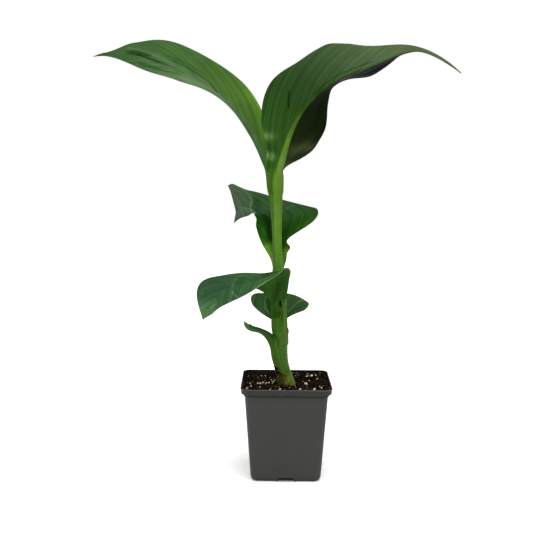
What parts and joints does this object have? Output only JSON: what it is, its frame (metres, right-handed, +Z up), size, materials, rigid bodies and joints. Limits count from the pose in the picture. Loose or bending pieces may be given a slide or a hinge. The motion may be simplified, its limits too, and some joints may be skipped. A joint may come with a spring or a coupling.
{
  "type": "potted canna lily",
  "caption": "Young canna lily in a square tapered nursery pot: one leaning sheathed stem with two long arching top leaves and smaller curled leaves below.",
  "frame": {"origin": "centre of the pot's flat underside", "axes": "+Z up, -Y towards the front as pictured, +X to the viewer's right"},
  "size_m": [0.3301, 0.2404, 0.4293],
  "materials": {
    "pot_plastic": "thin moulded charcoal polypropylene, satin",
    "potting_soil": "moist dark potting mix with bark and pale perlite",
    "stem_green": "smooth fresh stem of overlapping leaf sheaths",
    "leaf_green": "smooth leaf blade with fine side veins, semi-gloss"
  },
  "bodies": {
    "root": {"pot": "pot_plastic", "soil": "potting_soil", "stem": "stem_green", "leaf_top_left_base": "leaf_green", "leaf_top_left_tip": "leaf_green", "leaf_top_right_base": "leaf_green", "leaf_top_right_tip": "leaf_green", "leaf_middle": "leaf_green", "leaf_front_base": "leaf_green", "leaf_front_tip": "leaf_green", "leaf_back": "leaf_green", "leaf_side": "leaf_green"}
  },
  "joints": []
}
